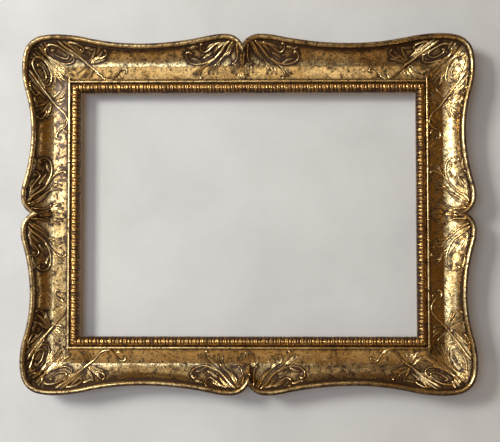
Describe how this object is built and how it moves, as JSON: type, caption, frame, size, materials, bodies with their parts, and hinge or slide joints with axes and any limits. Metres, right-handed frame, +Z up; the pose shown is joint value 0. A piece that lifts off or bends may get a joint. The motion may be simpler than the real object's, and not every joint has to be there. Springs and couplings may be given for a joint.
{
  "type": "picture frame",
  "caption": "Gilded wooden picture frame with a serpentine outer edge, carved scoop moulding, leaf-tip sight edge, and a rabbeted back with turn buttons and ring hangers.",
  "frame": {"origin": "on the wall plane, on the centre line, at the middle of the top back rail's flat outer band", "axes": "+X to the right as seen by the viewer, +Y into the wall, +Z up; the front faces -Y"},
  "size_m": [0.8, 0.052, 0.636],
  "materials": {
    "gilding": "gold leaf on gesso, burnished ridges with brown patina",
    "gilded_leaf_tips": "gold leaf on gesso, rubbed and toned",
    "back_wood": "aged bare softwood",
    "peg_wood": "bare end-grain hardwood",
    "brad_steel": "dull steel",
    "brass_strap": "aged brass",
    "brass_ring": "aged brass wire",
    "brass_button": "aged brass",
    "screw_steel": "darkened steel"
  },
  "bodies": {
    "frame": {"moulding_top": "gilding", "moulding_bottom": "gilding", "moulding_left": "gilding", "moulding_right": "gilding", "sight_strip_top": "gilded_leaf_tips", "sight_strip_bottom": "gilded_leaf_tips", "sight_strip_left": "gilded_leaf_tips", "sight_strip_right": "gilded_leaf_tips", "back_rail_top": "back_wood", "back_rail_bottom": "back_wood", "back_stile_left": "back_wood", "back_stile_right": "back_wood", "lap_pegs": "peg_wood", "sight_strip_brads": "brad_steel", "hanger_strap_left": "brass_strap", "hanger_strap_right": "brass_strap", "hanger_screws": "screw_steel", "turn_button_screws": "screw_steel"},
    "ring_left": {"hanger_ring_left": "brass_ring"},
    "ring_right": {"hanger_ring_right": "brass_ring"},
    "button_top_left": {"turn_button_top_left": "brass_button"},
    "button_top_right": {"turn_button_top_right": "brass_button"},
    "button_bottom_left": {"turn_button_bottom_left": "brass_button"},
    "button_bottom_right": {"turn_button_bottom_right": "brass_button"},
    "button_left": {"turn_button_left": "brass_button"},
    "button_right": {"turn_button_right": "brass_button"}
  },
  "joints": [
    {"name": "ring_left_swing", "type": "hinge", "parent": "frame", "child": "ring_left", "pos_m": [-0.2, -0.00353, -0.037], "axis": [-1, 0, 0], "range_deg": [0, 180]},
    {"name": "ring_right_swing", "type": "hinge", "parent": "frame", "child": "ring_right", "pos_m": [0.2, -0.00353, -0.037], "axis": [-1, 0, 0], "range_deg": [0, 180]},
    {"name": "button_top_left_turn", "type": "hinge", "parent": "frame", "child": "button_top_left", "pos_m": [-0.15, -0.0048, -0.044], "axis": [0, 1, 0], "range_deg": [0, 180]},
    {"name": "button_top_right_turn", "type": "hinge", "parent": "frame", "child": "button_top_right", "pos_m": [0.15, -0.0048, -0.044], "axis": [0, 1, 0], "range_deg": [0, 180]},
    {"name": "button_bottom_left_turn", "type": "hinge", "parent": "frame", "child": "button_bottom_left", "pos_m": [-0.15, -0.0048, -0.524], "axis": [0, 1, 0], "range_deg": [0, 180]},
    {"name": "button_bottom_right_turn", "type": "hinge", "parent": "frame", "child": "button_bottom_right", "pos_m": [0.15, -0.0048, -0.524], "axis": [0, 1, 0], "range_deg": [0, 180]},
    {"name": "button_left_turn", "type": "hinge", "parent": "frame", "child": "button_left", "pos_m": [-0.322, -0.0048, -0.284], "axis": [0, 1, 0], "range_deg": [0, 180]},
    {"name": "button_right_turn", "type": "hinge", "parent": "frame", "child": "button_right", "pos_m": [0.322, -0.0048, -0.284], "axis": [0, 1, 0], "range_deg": [0, 180]}
  ]
}
